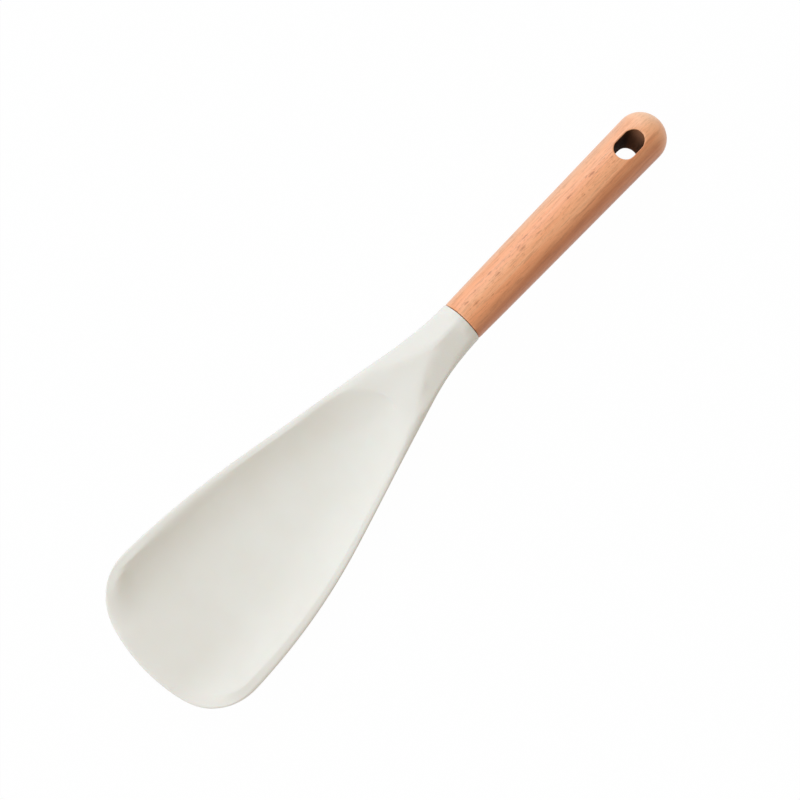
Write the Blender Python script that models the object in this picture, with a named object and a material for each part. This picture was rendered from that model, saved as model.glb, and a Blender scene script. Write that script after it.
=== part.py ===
"""Silicone spatula spoon with a turned beech handle, metres, +Z up.

The spoon is drawn along its handle's axis: x = 0 is the joint between silicone and wood, the scoop
lies towards -x, the handle towards +x, and heights are measured from the axis. One empty then tips
the whole spoon so that it lies face up on the floor, on a small flat under the bowl and the handle's end.
"""
import math

import bmesh
import bpy
from mathutils import Vector

MM = 0.001

# Beech handle
HANDLE_LENGTH = 127.1 * MM
HANDLE_JOINT_DIAMETER = 20.6 * MM
HANDLE_END_DIAMETER = 23.7 * MM
HANDLE_SWELL_POWER = 1.4
DOME_LENGTH = 10.6 * MM
HANDLE_EDGE_BREAK = 0.4 * MM
SLOT_LENGTH = 15.2 * MM
SLOT_WIDTH = 9.8 * MM
SLOT_FROM_END = 20.9 * MM

# Joint between the silicone neck and the wood
JOINT_GAP = 0.3 * MM
NECK_DIAMETER = 21.0 * MM

# Plan outline of the silicone head
HEAD_LENGTH = 209.2 * MM
HEAD_WIDTH = 87.0 * MM
FLARE_START = 16.5 * MM
FLARE_RADIUS = 138.0 * MM
FLANK_ANGLE = math.radians(14.65)
SHOULDER_RADIUS = 327.0 * MM
CORNER_RADIUS = 28.6 * MM
FRONT_RADIUS = 89.0 * MM

# Rim plane: it leaves the neck's ridge, slopes down and levels out
FORK_DISTANCE = 20.7 * MM
FORK_HEIGHT = 6.5 * MM
RIM_SLOPE = 0.42
RIM_BEND_START = 80.2 * MM
RIM_BEND_RADIUS = 209.0 * MM

# Hip roof of the neck
ROOF_PITCH = 0.41
RIDGE_SLOPE = 0.17
ROOF_FADE = 7.0 * MM
JOINT_SIDE_INSET = 1.7 * MM
FACET_SIDE_INSET = 3.0 * MM

# Bowl
BOWL_START = 40.2 * MM
BOWL_NOSE = 23.0 * MM
BOWL_DEPTH = 9.0 * MM
BOWL_RAMP = 38.0 * MM
BOWL_POWER = 2.8
NOSE_POWER = 2.0
FRONT_POWER = 4.2
RIM_WIDTH = 3.1 * MM
CORNER_RIM_WIDTH = 6.4 * MM
FRONT_START = 100.0 * MM
RIM_EDGE = 1.1 * MM
FLOOR_THICKNESS = 4.2 * MM
HEEL_DISTANCE = 74.2 * MM
UNDERSIDE_POWER = 2.4
LIP_DROP = 5.8 * MM
LIP_THICKNESS = 2.0 * MM
LIP_TAPER = 30.0 * MM
LIP_BOWL_WIDTH = 61.0 * MM
FRONT_BOW = 0.75
CORNER_TOP_ANGLE = math.radians(76)
CORNER_LOW_ANGLE = math.radians(14)
FOOT_CUT = 0.4 * MM

# Nylon core
CORE_CLEARANCE = 0.3 * MM
CORE_THICKNESS = 1.6 * MM
CORE_SPREAD = 0.62
CORE_END_MARGIN = 28.0 * MM
CORE_TIP_ROUND = 20.0 * MM
CORE_TIP_CUT = 0.5 * MM
CORE_TIP_POWER = 3.0
CORE_EDGE_POWER = 8.0
STEM_DIAMETER = 8.0 * MM
TANG_LENGTH = 58.0 * MM
TANG_POINT = 1.5 * MM
BARB_PITCH = 8.0 * MM
BARB_DEPTH = 0.6 * MM
BARB_FACE = 1.0 * MM
BARB_COUNT = 5
KEY_HOLE_DIAMETER = 7.0 * MM
KEY_HOLE_PITCH = 19.0 * MM
KEY_HOLE_SPACING = 12.6 * MM

# Glue joint in the handle's blind bore
GLUE_THICKNESS = 0.6 * MM
GLUE_CLEARANCE = 0.3 * MM
GLUE_START = 2.0 * MM
GLUE_LENGTH = 50.0 * MM
BORE_END_ROOM = 1.5 * MM
DRILL_POINT_ANGLE = math.radians(31)

# How far cutters run past what they cut
CUTTER_REACH = 5.0 * MM

# Colours of the materials
SILICONE_COLOUR = (0.80, 0.79, 0.74)
BEECH_COLOUR = (0.62, 0.31, 0.17)
NYLON_COLOUR = (0.30, 0.31, 0.32)
GLUE_COLOUR = (0.70, 0.60, 0.38)

for old in list(bpy.data.objects):
    bpy.data.objects.remove(old, do_unlink=True)


def blend(low, high, t):
    """Smooth step from low to high as t goes from 0 to 1."""
    t = min(max(t, 0.0), 1.0)
    return low + (high - low) * t * t * (3.0 - 2.0 * t)


def steps(start, end, count):
    """Count values from start to end, without start itself."""
    return [start + (end - start) * (i + 1) / count for i in range(count)]


# Distances below run along the spoon from the joint towards the tip, and are positive.

def rim_height(d):
    """Height of the rim plane at a distance from the joint."""
    slope = math.atan(RIM_SLOPE)
    bend_end = RIM_BEND_START + RIM_BEND_RADIUS * math.sin(slope)
    straight = FORK_HEIGHT - RIM_SLOPE * (min(d, RIM_BEND_START) - FORK_DISTANCE)
    if d <= RIM_BEND_START:
        return straight
    level = straight - RIM_BEND_RADIUS * (1.0 - math.cos(slope))
    left = max(bend_end - d, 0.0)
    return level + RIM_BEND_RADIUS - math.sqrt(RIM_BEND_RADIUS ** 2 - left ** 2)


def corner_centre():
    """Centre of the front corner's arc, and the angle where it meets the front arc."""
    y = HEAD_WIDTH / 2 - CORNER_RADIUS
    run = math.sqrt((FRONT_RADIUS - CORNER_RADIUS) ** 2 - y ** 2)
    return HEAD_LENGTH - FRONT_RADIUS + run, y, math.atan2(y, run)


def corner_point(angle):
    """Point of the front outline: 90 degrees at the side, 0 at the middle of the lip."""
    d, y, meet = corner_centre()
    if angle >= meet:
        return d + CORNER_RADIUS * math.cos(angle), y + CORNER_RADIUS * math.sin(angle)
    return (HEAD_LENGTH - FRONT_RADIUS + FRONT_RADIUS * math.cos(angle),
            FRONT_RADIUS * math.sin(angle))


def half_width(d):
    """Half the head's width up to where the front corners begin."""
    neck = NECK_DIAMETER / 2
    flare_run = FLARE_RADIUS * math.tan(FLANK_ANGLE / 2)
    flare_start = FLARE_START - flare_run
    flare_end = flare_start + FLARE_RADIUS * math.sin(FLANK_ANGLE)
    widest = HEAD_WIDTH / 2
    shoulder = FLARE_START + (widest - neck) / math.tan(FLANK_ANGLE)
    shoulder_run = SHOULDER_RADIUS * math.tan(FLANK_ANGLE / 2)
    shoulder_end = shoulder + shoulder_run
    shoulder_start = shoulder_end - SHOULDER_RADIUS * math.sin(FLANK_ANGLE)
    if d <= flare_start:
        return neck
    if d <= flare_end:
        return neck + FLARE_RADIUS - math.sqrt(FLARE_RADIUS ** 2 - (d - flare_start) ** 2)
    if d <= shoulder_start:
        return neck + (d - FLARE_START) * math.tan(FLANK_ANGLE)
    if d <= shoulder_end:
        return widest - SHOULDER_RADIUS + math.sqrt(SHOULDER_RADIUS ** 2 - (shoulder_end - d) ** 2)
    return widest


def lip_point(y):
    """Distance of the front outline at a width, and the angle of the arc there."""
    low, high = 0.0, LAST_ANGLE
    for _ in range(50):
        angle = (low + high) / 2
        low, high = (angle, high) if corner_point(angle)[1] < y else (low, angle)
    return corner_point(angle)[0], angle


def front_reach(share):
    """How far the lip lies ahead of the last section at a share of that section's half width."""
    last_d, last_width = corner_point(LAST_ANGLE)
    return lip_point(share * last_width)[0] - last_d


def edge_height(angle):
    """Height of the top's edge round the front corners, where the rim sinks to the lip."""
    lip = rim_height(HEAD_LENGTH) - LIP_DROP
    sunk = (angle - CORNER_LOW_ANGLE) / (CORNER_TOP_ANGLE - CORNER_LOW_ANGLE)
    return blend(lip, rim_height(corner_point(angle)[0]), sunk)


def bowl_depth(d):
    """Depth of the bowl's middle below the rim plane."""
    if d <= BOWL_START:
        return 0.0
    rise = min((d - BOWL_START) / BOWL_RAMP, 1.0)
    depth = BOWL_DEPTH * (1.0 - (1.0 - rise) ** 2)
    bend_end = RIM_BEND_START + RIM_BEND_RADIUS * math.sin(math.atan(RIM_SLOPE))
    front = (d - bend_end) / (HEAD_LENGTH - bend_end)
    return blend(depth, LIP_DROP, front)


def towards_front(d):
    """Share of the way from where the rim starts to spread to the lip."""
    return min(max((d - FRONT_START) / (HEAD_LENGTH - FRONT_START), 0.0), 1.0)


def rim_width(d):
    """Width of the rim band, which spreads towards the front corners."""
    return RIM_WIDTH + (CORNER_RIM_WIDTH - RIM_WIDTH) * towards_front(d) ** 2


def bowl_half_width(d, width):
    """Half width of the bowl's opening, inside the rim."""
    nose = min(max((d - BOWL_START) / BOWL_NOSE, 0.0), 1.0)
    return (width - rim_width(d)) * math.sqrt(1.0 - (1.0 - nose) ** 2)


def bowl_dish(d, share):
    """How deep the bowl is at a share of its half width, as a share of its depth."""
    power = blend(NOSE_POWER, BOWL_POWER, (d - BOWL_START) / BOWL_RAMP)
    return 1.0 - abs(share) ** blend(power, FRONT_POWER, towards_front(d))


def front_edge(d, y):
    """Distance of a point inside the front outline, and the outline's angle next to it."""
    centre_d, centre_y, meet = corner_centre()
    angle = math.atan2(abs(y) - centre_y, d - centre_d)
    if angle >= meet:
        inside = CORNER_RADIUS - math.hypot(d - centre_d, abs(y) - centre_y)
        return inside, min(angle, math.radians(90))
    front_centre = HEAD_LENGTH - FRONT_RADIUS
    return (FRONT_RADIUS - math.hypot(d - front_centre, y),
            math.atan2(abs(y), d - front_centre))


def front_surface(d, y):
    """Height of the top past the corners' start, where the wall sinks with the rim."""
    inside, angle = front_edge(d, y)
    rim = edge_height(angle)
    floor = rim_height(d) - bowl_depth(d)
    share = 1.0 - (inside - rim_width(d)) / (HEAD_WIDTH / 2 - rim_width(d))
    return rim - (rim - floor) * bowl_dish(d, min(max(share, 0.0), 1.0))


def floor_thickness(d):
    """Thickness of the floor, which thins towards the lip."""
    taper = (d - (HEAD_LENGTH - LIP_TAPER)) / LIP_TAPER
    return blend(FLOOR_THICKNESS, LIP_THICKNESS, taper)


def bowl_underside(d):
    return rim_height(d) - bowl_depth(d) - floor_thickness(d)


def underside_height(d):
    """Height of the underside's middle line: a curve under the neck, then the bowl's own underside."""
    if d >= HEEL_DISTANCE:
        return bowl_underside(d)
    step = 1.0 * MM
    end = bowl_underside(HEEL_DISTANCE)
    end_slope = (bowl_underside(HEEL_DISTANCE + step) - end) / step * HEEL_DISTANCE
    t = d / HEEL_DISTANCE
    start = -NECK_DIAMETER / 2
    return (start * (2 * t ** 3 - 3 * t ** 2 + 1)
            + end * (3 * t ** 2 - 2 * t ** 3) + end_slope * (t ** 3 - t ** 2))


def side_drop(d):
    """How far the head's widest line lies below the rim plane."""
    t = min(max((d - FORK_DISTANCE) / (RIM_BEND_START - FORK_DISTANCE), 0.0), 1.0)
    return RIM_EDGE + (FORK_HEIGHT - RIM_EDGE) * (1.0 - t) ** 2


def widest_height(d):
    if d <= FORK_DISTANCE:
        return 0.0
    return rim_height(d) - side_drop(d)


def ridge_height(d):
    """Height of the roof's ridge line, which runs on unseen past the fork."""
    return FORK_HEIGHT + RIDGE_SLOPE * (FORK_DISTANCE - d)


def side_inset(d):
    """How far the flat top stops inside the widest line."""
    if d <= BOWL_START:
        return blend(JOINT_SIDE_INSET, FACET_SIDE_INSET, d / BOWL_START)
    return blend(FACET_SIDE_INSET, RIM_EDGE, (d - BOWL_START) / (HEEL_DISTANCE - BOWL_START))


# Tracks that every section of the head shares, from the middle of its top to its widest line:
# across the bowl, then over the rim band, the roof's facet and the side
BOWL_SHARES = (0.0, 0.22, 0.42, 0.58, 0.72, 0.83, 0.91, 0.97, 1.0)
BAND_SHARES = (0.32, 0.64, 0.77, 0.87, 0.95, 1.0)
TRACKS = len(BOWL_SHARES) + len(BAND_SHARES)
CORNER_RINGS = 5
LAST_ANGLE = math.radians(45)


def lip_shares():
    """Share of the last section's half width at which each track reaches the lip."""
    bowl = LIP_BOWL_WIDTH / 2 / corner_point(LAST_ANGLE)[1]
    return [bowl * s for s in BOWL_SHARES] + [bowl + (1.0 - bowl) * s for s in BAND_SHARES]


def neck_section(d):
    """Top half of a section between the joint and the fork, from the ridge to the widest line."""
    width = half_width(d)
    edge = width - side_inset(d)
    fade = min(d / ROOF_FADE, 1.0)
    eave = ridge_height(d) - ROOF_PITCH * edge
    round_eave = math.sqrt(width ** 2 - edge ** 2)
    top = [(0.0, blend(NECK_DIAMETER / 2, ridge_height(d), fade))] * (len(BOWL_SHARES) + 2)
    middle = edge / 2
    round_middle = math.sqrt(width ** 2 - middle ** 2)
    top.append((middle, blend(round_middle, ridge_height(d) - ROOF_PITCH * middle, fade)))
    eave_height = blend(round_eave, eave, fade)
    top.append((edge, eave_height))
    return top + side_points(width, edge, 0.0, eave_height)


def side_points(width, edge, low, high):
    """Rounded side from the top's outer edge down to the widest line."""
    turn = math.radians(45)
    return [(edge + (width - edge) * math.cos(turn), low + (high - low) * math.sin(turn)),
            (width, low)]


def head_section(d, width, rim):
    """Top half of a section past the fork: bowl, rim band, what is left of the roof, and side."""
    plane = rim_height(d)
    edge = width - side_inset(d)
    crease = edge
    if d < HEEL_DISTANCE:
        crease = min((ridge_height(d) - plane) / ROOF_PITCH, edge)
    bowl = bowl_half_width(d, width)
    depth = bowl_depth(d) + rim - plane
    top = [(bowl * s, rim - depth * bowl_dish(d, s)) for s in BOWL_SHARES]
    top.append(((bowl + crease) / 2, rim))
    top.append((crease, rim))
    eave = rim - ROOF_PITCH * (edge - crease)
    top.append(((crease + edge) / 2, (rim + eave) / 2))
    top.append((edge, eave))
    return top + side_points(width, edge, rim - side_drop(d), eave)


def underside_section(d, width, low):
    """Lower half of a section, from the widest line to the middle of the underside."""
    power = blend(2.0, UNDERSIDE_POWER, d / HEEL_DISTANCE)
    depth = low - underside_height(d)
    points = []
    for i in range(TRACKS):
        angle = math.radians(90) * i / (TRACKS - 1)
        points.append((width * math.cos(angle) ** (2 / power),
                       low - depth * math.sin(angle) ** (2 / power)))
    return points


def rest_line():
    """Tilt of the handle's axis, and the floor's height at the joint, when the spoon lies down."""
    belly = [(-d, underside_height(d)) for d in steps(0.0, HEAD_LENGTH, 400)]
    end = [(x, -handle_radius(x)) for x in steps(0.0, HANDLE_LENGTH, 400)]
    low, high = 0.0, math.radians(30)
    for _ in range(60):
        tilt = (low + high) / 2
        belly_low = min(h * math.cos(tilt) - x * math.sin(tilt) for x, h in belly)
        end_low = min(h * math.cos(tilt) - x * math.sin(tilt) for x, h in end)
        if end_low > belly_low + FOOT_CUT:
            low = tilt
        else:
            high = tilt
    return tilt, end_low


def handle_radius(x):
    """Radius of the turned handle at a distance from the joint."""
    dome = HANDLE_LENGTH - DOME_LENGTH
    swell = (min(x, dome) / dome) ** HANDLE_SWELL_POWER
    radius = (HANDLE_JOINT_DIAMETER + (HANDLE_END_DIAMETER - HANDLE_JOINT_DIAMETER) * swell) / 2
    if x <= dome:
        return radius
    return radius * math.sqrt(max(1.0 - ((x - dome) / DOME_LENGTH) ** 2, 0.0))


REST_TILT, REST_FLOOR = rest_line()


def above_floor(x, y, z):
    """The bowl's underside is cut flat where it stands on the floor."""
    floor = (REST_FLOOR + x * math.sin(REST_TILT)) / math.cos(REST_TILT)
    return Vector((x, y, max(z, floor)))


class Skin:
    """A closed mesh built ring by ring, with points that coincide welded into one."""

    def __init__(self, name):
        self.name = name
        self.mesh = bmesh.new()
        self.known = {}

    def point(self, co):
        key = tuple(round(c * 1e7) for c in co)
        if key not in self.known:
            self.known[key] = self.mesh.verts.new(co)
        return self.known[key]

    def face(self, corners):
        ring = []
        for co in corners:
            vert = self.point(co)
            if vert not in ring:
                ring.append(vert)
        if len(ring) > 2 and self.mesh.faces.get(ring) is None:
            self.mesh.faces.new(ring)

    def loft(self, rings):
        for a, b in zip(rings, rings[1:]):
            for i in range(len(a)):
                j = (i + 1) % len(a)
                self.face((a[i], a[j], b[j], b[i]))

    def finish(self, material, sharp=40):
        bmesh.ops.recalc_face_normals(self.mesh, faces=self.mesh.faces)
        data = bpy.data.meshes.new(self.name)
        self.mesh.to_mesh(data)
        self.mesh.free()
        data.shade_smooth()
        data.set_sharp_from_angle(angle=math.radians(sharp))
        data.materials.append(material)
        made = bpy.data.objects.new(self.name, data)
        bpy.context.collection.objects.link(made)
        made.parent = SPOON
        return made


def material(name, colour, roughness):
    made = bpy.data.materials.new(name)
    made.use_nodes = True
    shader = made.node_tree.nodes["Principled BSDF"]
    shader.inputs["Base Color"].default_value = (*colour, 1.0)
    shader.inputs["Roughness"].default_value = roughness
    shader.inputs["Metallic"].default_value = 0.0
    return made


def cut(target, cutter):
    """Take a cutter away from a piece with an exact Boolean."""
    cutter.hide_render = True
    cutter.display_type = "WIRE"
    modifier = target.modifiers.new("cut_" + cutter.name, "BOOLEAN")
    modifier.operation = "DIFFERENCE"
    modifier.solver = "EXACT"
    modifier.object = cutter


def mirrored_ring(top, bottom):
    """Full ring from the halves of a section, each a list of (x, y, z) points with y at or above 0."""
    half = top + bottom[1:]
    return half + [(x, -y, z) for x, y, z in reversed(half[1:-1])]


def turned(name, profile, sides, finish):
    """Solid of revolution about the handle's axis from an outline of (x, radius) pairs."""
    skin = Skin(name)
    rings = []
    for x, radius in profile:
        angles = [2 * math.pi * i / sides for i in range(sides)]
        rings.append([Vector((x, radius * math.cos(a), radius * math.sin(a))) for a in angles])
    skin.loft(rings)
    skin.face(rings[0])
    skin.face(rings[-1])
    return skin.finish(finish)


def turned_ring(name, start, end, inner, outer, sides, finish):
    """Straight sleeve about the handle's axis."""
    skin = Skin(name)
    rings = []
    for x, radius in ((start, inner), (start, outer), (end, outer), (end, inner), (start, inner)):
        angles = [2 * math.pi * i / sides for i in range(sides)]
        rings.append([Vector((x, radius * math.cos(a), radius * math.sin(a))) for a in angles])
    skin.loft(rings)
    return skin.finish(finish)


def upright_prisms(name, outlines, low, high, finish):
    """Upright prisms from outlines of (x, y) points, used as cutters."""
    skin = Skin(name)
    for outline in outlines:
        rings = [[Vector((x, y, z)) for x, y in outline] for z in (low, high)]
        skin.loft(rings)
        skin.face(rings[0])
        skin.face(rings[1])
    return skin.finish(finish)


def head_stations():
    """Distances of the head's sections: on the neck, and from the fork to the front corners."""
    joint = JOINT_GAP / 2
    neck = [joint] + steps(joint, ROOF_FADE, 3) + steps(ROOF_FADE, FORK_DISTANCE, 3)
    facet = steps(FORK_DISTANCE, BOWL_START, 4)
    nose = steps(BOWL_START, HEEL_DISTANCE, 8)
    return neck, facet + nose + steps(HEEL_DISTANCE, corner_centre()[0], 11)


def neck_ring(d):
    top = [(-d, y, z) for y, z in neck_section(d)]
    low = [(-d, y, z) for y, z in underside_section(d, half_width(d), 0.0)]
    return mirrored_ring(top, low)


def bowl_ring(d):
    """Section of the bowl, whose middle bows towards the tip as the front's curve comes near."""
    width = half_width(d)
    corner_start = corner_centre()[0]
    curve = blend(0.0, FRONT_BOW, (d - HEEL_DISTANCE) / (corner_start - HEEL_DISTANCE))

    def bowed(y):
        return d + curve * front_reach(y / width)

    def upper(track, y, z):
        place = bowed(y)
        if track < len(BOWL_SHARES):
            dish = bowl_dish(place, BOWL_SHARES[track])
            return -place, y, rim_height(place) - bowl_depth(place) * dish
        return -place, y, z + rim_height(place) - rim_height(d)

    def lower(y, z):
        place = bowed(y)
        depth = widest_height(place) - underside_height(place)
        share = (widest_height(d) - z) / (widest_height(d) - underside_height(d))
        return -place, y, widest_height(place) - depth * share

    top = head_section(d, width, rim_height(d))
    low = underside_section(d, width, widest_height(d))
    return mirrored_ring([upper(i, *co) for i, co in enumerate(top)], [lower(*co) for co in low])


def corner_ring(angle, turn):
    """Section round the front corners, which closes onto the lip as turn goes from 0 to 1."""
    d, width = corner_point(angle)
    last_width = corner_point(LAST_ANGLE)[1]
    rim = edge_height(angle)
    curve = FRONT_BOW + (1.0 - FRONT_BOW) * turn
    closing = blend(0.0, 1.0, turn)
    widest = rim - (1.0 - closing) * RIM_EDGE - closing * LIP_THICKNESS / 2

    def plan(track, y):
        share = (1.0 - closing) * y / width + closing * lip_shares()[track]
        place = d + curve * front_reach(share)
        if track < TRACKS - 1:
            place -= closing * LIP_THICKNESS / 2
        return place, share

    def upper(track, y, z):
        place, share = plan(track, y)
        if track == TRACKS - 1:
            return -place, share * width, widest
        side = (1.0 - closing) * (rim - z) if track >= len(BOWL_SHARES) else 0.0
        return -place, share * width, front_surface(place, share * width) - side

    def lower(track, y, z):
        place, share = plan(track, y)
        if track == TRACKS - 1:
            return -place, share * width, widest
        lip = edge_height(lip_point(share * last_width)[1]) - LIP_THICKNESS
        return -place, share * width, (1.0 - closing) * z + closing * lip

    top = head_section(d, width, rim)
    low = underside_section(d, width, widest)
    return mirrored_ring([upper(i, *co) for i, co in enumerate(top)],
                         [lower(TRACKS - 1 - i, *co) for i, co in enumerate(low)])


def close_lip(skin, last):
    """Zip the last section's top and underside together along the lip's edge."""
    last_width = corner_point(LAST_ANGLE)[1]
    middle = []
    for share in lip_shares()[:-1]:
        d, angle = lip_point(share * last_width)
        middle.append((-d, share * last_width, edge_height(angle) - LIP_THICKNESS / 2))
    half = 2 * (TRACKS - 1)
    for side in (1, -1):
        edge = [Vector((x, side * y, z)) for x, y, z in middle] + [last[side * (TRACKS - 1)]]
        for i in range(TRACKS - 1):
            low_a = last[side * (half - i) % len(last)]
            low_b = last[side * (half - i - 1) % len(last)]
            skin.face((last[side * i], last[side * (i + 1)], edge[i + 1], edge[i]))
            skin.face((edge[i], edge[i + 1], low_b, low_a))


def silicone_head():
    """Bowl, rim, lip and neck, moulded in one over the core."""
    skin = Skin("silicone_head")
    neck, bowl = head_stations()
    rings = [neck_ring(d) for d in neck] + [bowl_ring(d) for d in bowl]
    for i in range(CORNER_RINGS):
        turn = (i + 1) / CORNER_RINGS
        rings.append(corner_ring(math.radians(90) + (LAST_ANGLE - math.radians(90)) * turn, turn))
    rings = [[above_floor(*co) for co in ring] for ring in rings]
    skin.loft(rings)
    skin.face(rings[0])
    close_lip(skin, rings[-1])
    return skin.finish(SILICONE)


def bowl_surface(d, y):
    """Height of the head's upper surface on and near its middle line."""
    if d <= FORK_DISTANCE:
        return ridge_height(d)
    if d <= BOWL_START:
        return rim_height(d)
    share = min(abs(y) / bowl_half_width(d, half_width(d)), 1.0)
    return rim_height(d) - bowl_depth(d) * bowl_dish(d, share)


CORE_END = HEAD_LENGTH - CORE_END_MARGIN
CORE_SKIN = (FLOOR_THICKNESS - CORE_THICKNESS) / 2
CORE_SIDES = 24


def core_half_width(d):
    """Half width of the core: a round stem that spreads into a blade under the bowl's floor."""
    stem = STEM_DIAMETER / 2
    blade = CORE_SPREAD * bowl_half_width(max(d, HEEL_DISTANCE), half_width(max(d, HEEL_DISTANCE)))
    width = blend(stem, blade, (d - BOWL_START) / (HEEL_DISTANCE - BOWL_START))
    left = max((CORE_END - d) / CORE_TIP_ROUND, 0.0)
    if left < 1.0:
        width *= (1.0 - (1.0 - left) ** CORE_TIP_POWER) ** (1 / CORE_TIP_POWER)
    return width


def core_ring(d, room):
    """Section of the core, grown all round by a clearance."""
    solid = bowl_surface(d, 0.0) - underside_height(d)
    thickness = min(STEM_DIAMETER, solid - 2 * CORE_SKIN)
    middle = (bowl_surface(d, 0.0) + underside_height(d)) / 2
    middle = blend(0.0, middle, d / FORK_DISTANCE)
    power = blend(2.0, CORE_EDGE_POWER, (d - BOWL_START) / (HEEL_DISTANCE - BOWL_START))
    ring = []
    for i in range(CORE_SIDES):
        angle = 2 * math.pi * i / CORE_SIDES
        y = abs(math.cos(angle)) ** (2 / power) * (core_half_width(d) + room)
        z = abs(math.sin(angle)) ** (2 / power) * (thickness / 2 + room)
        dish = 0.0
        if d > BOWL_START:
            dish = bowl_surface(d, y) - bowl_surface(d, 0.0)
        height = middle + dish + math.copysign(z, math.sin(angle))
        ring.append(Vector((-d, math.copysign(y, math.cos(angle)), height)))
    return ring


def core_body(name, room, out, finish):
    """The core's blade and stem as one closed loft, whose stem ends at a place in the handle."""
    skin = Skin(name)
    blade_tip = CORE_END - CORE_TIP_CUT
    round_start = blade_tip - CORE_TIP_ROUND
    stations = [0.0] + steps(0.0, BOWL_START, 6) + steps(BOWL_START, HEEL_DISTANCE, 7)
    stations += steps(HEEL_DISTANCE, round_start, 8) + steps(round_start, blade_tip, 5)
    rings = [core_ring(d, room) for d in reversed(stations)]
    if room > 0.0:
        rings.insert(0, [co - Vector((room, 0.0, 0.0)) for co in rings[0]])
    for x, radius in out:
        angles = [2 * math.pi * i / CORE_SIDES for i in range(CORE_SIDES)]
        rings.append([Vector((x, radius * math.cos(a), radius * math.sin(a))) for a in angles])
    skin.loft(rings)
    skin.face(rings[0])
    skin.face(rings[-1])
    return skin.finish(finish)


def key_holes(name, room, finish):
    """Cutters for the blade's holes, which the silicone flows through and grips."""
    radius = KEY_HOLE_DIAMETER / 2 - room
    outlines = []
    d = HEEL_DISTANCE + KEY_HOLE_PITCH / 2
    while d < CORE_END - KEY_HOLE_DIAMETER:
        width = core_half_width(d)
        across = max(int((2 * width - KEY_HOLE_DIAMETER / 2) / KEY_HOLE_SPACING), 1)
        for i in range(across):
            y = (i - (across - 1) / 2) * KEY_HOLE_SPACING
            outlines.append([(-d + radius * math.cos(math.radians(30 * k)),
                              y + radius * math.sin(math.radians(30 * k))) for k in range(12)])
        d += KEY_HOLE_PITCH
    low = min(underside_height(d) for d in steps(0.0, HEAD_LENGTH, 50))
    return upright_prisms(name, outlines, low - CUTTER_REACH, CUTTER_REACH, finish)


def head_core():
    """Nylon stiffener: a perforated blade, a stem through the neck and a barbed tang."""
    radius = STEM_DIAMETER / 2
    tang = [(JOINT_GAP, radius)]
    barb = TANG_LENGTH - BARB_COUNT * BARB_PITCH
    for _ in range(BARB_COUNT):
        tang += [(barb - BARB_FACE, radius), (barb, radius - BARB_DEPTH)]
        barb += BARB_PITCH
    tang += [(TANG_LENGTH - TANG_POINT, radius - BARB_DEPTH),
             (TANG_LENGTH, radius - 2 * BARB_DEPTH)]
    core = core_body("head_core", 0.0, tang, NYLON)
    cut(core, key_holes("core_key_holes", 0.0, NYLON))
    return core


def core_room():
    """Cutter for the room that the core fills in the silicone, open at the neck's end."""
    room = core_body("core_room", CORE_CLEARANCE,
                     [(CUTTER_REACH, STEM_DIAMETER / 2 + CORE_CLEARANCE)], SILICONE)
    cut(room, key_holes("room_key_holes", CORE_CLEARANCE, SILICONE))
    return room


def beech_handle():
    """Turned beech handle with a hanging slot and a blind bore for the tang."""
    start = JOINT_GAP / 2
    dome = HANDLE_LENGTH - DOME_LENGTH
    outline = [(start, handle_radius(start) - HANDLE_EDGE_BREAK)]
    outline.append((start + HANDLE_EDGE_BREAK, handle_radius(start + HANDLE_EDGE_BREAK)))
    outline += [(x, handle_radius(x)) for x in steps(start + HANDLE_EDGE_BREAK, dome, 9)]
    for angle in steps(90, 0, 9):
        x = dome + DOME_LENGTH * math.cos(math.radians(angle))
        outline.append((x, handle_radius(dome) * math.sin(math.radians(angle))))
    handle = turned("beech_handle", outline, 48, BEECH)

    straight = (SLOT_LENGTH - SLOT_WIDTH) / 2
    middle = HANDLE_LENGTH - SLOT_FROM_END
    slot = []
    for side in (1, -1):
        for i in range(13):
            angle = math.radians(-90 + 15 * i) + (0 if side > 0 else math.pi)
            slot.append((middle + side * straight + SLOT_WIDTH / 2 * math.cos(angle),
                         SLOT_WIDTH / 2 * math.sin(angle)))
    cut(handle, upright_prisms("slot_cutter", [slot], -HANDLE_END_DIAMETER, HANDLE_END_DIAMETER,
                               BEECH))

    bore = STEM_DIAMETER / 2 + 2 * GLUE_CLEARANCE + GLUE_THICKNESS
    depth = TANG_LENGTH + BORE_END_ROOM
    point = bore * math.tan(DRILL_POINT_ANGLE)
    drill = [(-CUTTER_REACH, bore), (depth, bore), (depth + point, 0.0)]
    cut(handle, turned("bore_cutter", drill, CORE_SIDES, BEECH))
    return handle


def tang_glue():
    """Cured epoxy between the tang and the bore."""
    inner = STEM_DIAMETER / 2 + GLUE_CLEARANCE
    return turned_ring("tang_glue", GLUE_START, GLUE_START + GLUE_LENGTH, inner,
                       inner + GLUE_THICKNESS, CORE_SIDES, GLUE)


def lay_down(pieces):
    """Tip the spoon onto the floor, with the middle of its footprint over the origin."""
    SPOON.rotation_euler = (0.0, REST_TILT, 0.0)
    turn = SPOON.rotation_euler.to_matrix()
    reach = [(turn @ vert.co).x for piece in pieces for vert in piece.data.vertices]
    SPOON.location = (-(min(reach) + max(reach)) / 2, 0.0, -REST_FLOOR)


SPOON = bpy.data.objects.new("spoon", None)
bpy.context.collection.objects.link(SPOON)
SILICONE = material("silicone", SILICONE_COLOUR, 0.55)
BEECH = material("beech", BEECH_COLOUR, 0.5)
NYLON = material("nylon", NYLON_COLOUR, 0.5)
GLUE = material("glue", GLUE_COLOUR, 0.3)

head = silicone_head()
cut(head, core_room())
head_core()
tang_glue()
handle = beech_handle()
lay_down([head, handle])
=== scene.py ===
"""Looks of the silicone spatula spoon: a warm white silicone scoop on a turned beech handle.

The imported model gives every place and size. The silicone and the wood get finer meshes here, and every
piece gets its finish. The spoon lies face up on a white floor, seen from above as in the photograph.
"""
import math

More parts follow.
